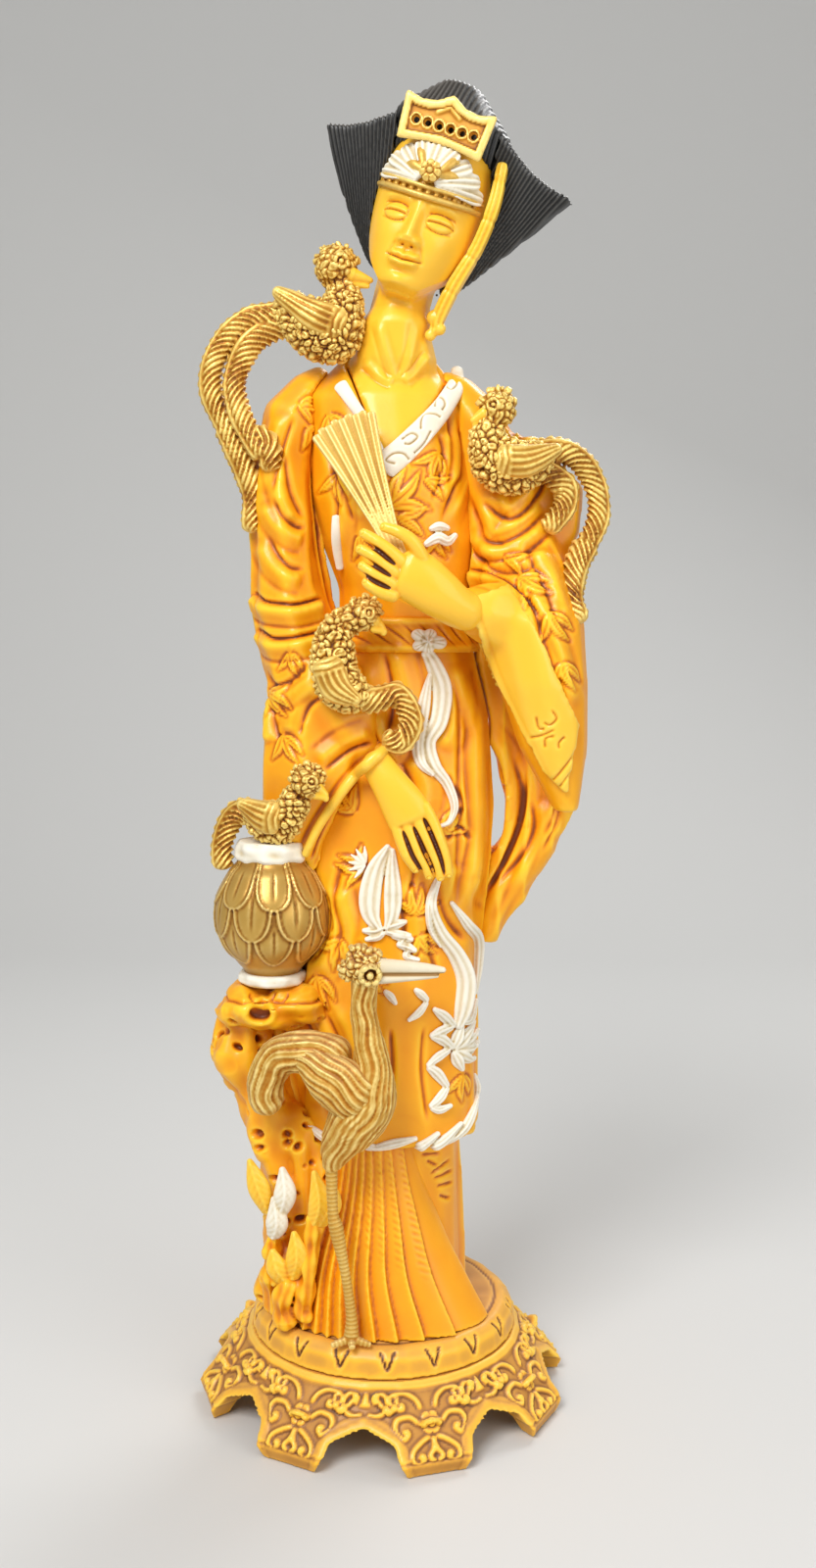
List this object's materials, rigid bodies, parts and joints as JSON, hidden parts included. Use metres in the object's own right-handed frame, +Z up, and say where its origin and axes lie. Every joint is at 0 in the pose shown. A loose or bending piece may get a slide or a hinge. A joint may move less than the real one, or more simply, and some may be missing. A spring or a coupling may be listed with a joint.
{
  "type": "robed lady figurine",
  "caption": "Cast-resin figurine of a robed lady with a fan, phoenixes, a crane and a lotus vase, standing on an octagonal arched plinth.",
  "frame": {"origin": "on the surface it stands on, under the middle of the outline", "axes": "+Z up, -Y towards the front, +X to the right of someone facing the figure"},
  "size_m": [0.1253, 0.1168, 0.3983],
  "materials": {
    "resin": "painted cast resin, amber glaze over yellow, darker in the recesses",
    "skin": "smooth painted cast resin, light yellow",
    "gold": "cast resin dry-brushed with gold paint",
    "white": "cast resin picked out in white paint",
    "hair": "satin black paint on cast resin"
  },
  "bodies": {
    "root": {"plinth_skirt": "resin", "plinth_disc": "resin", "gown": "resin", "train": "resin", "overskirt": "resin", "torso": "resin", "head": "skin", "hair_crown": "hair", "hair_wing_left": "hair", "hair_wing_right": "hair", "hair_band": "skin", "diadem": "gold", "crown_comb": "gold", "sash": "resin", "sleeve_left": "resin", "sleeve_right": "resin", "mantle": "resin", "sleeve_cuff": "skin", "fan": "gold", "upper_hand": "skin", "lower_hand": "skin", "vase": "gold", "rock": "resin", "crane": "gold", "crane_leg": "gold", "phoenix_left": "gold", "phoenix_right": "gold", "phoenix_waist": "gold", "phoenix_vase": "gold", "lotus_sprig": "white", "bow": "white", "collar": "white", "sash_ribbon": "white", "leaf_pendant": "white", "lower_ribbon": "white", "ruffle": "white", "hem_frill": "white"}
  },
  "joints": []
}
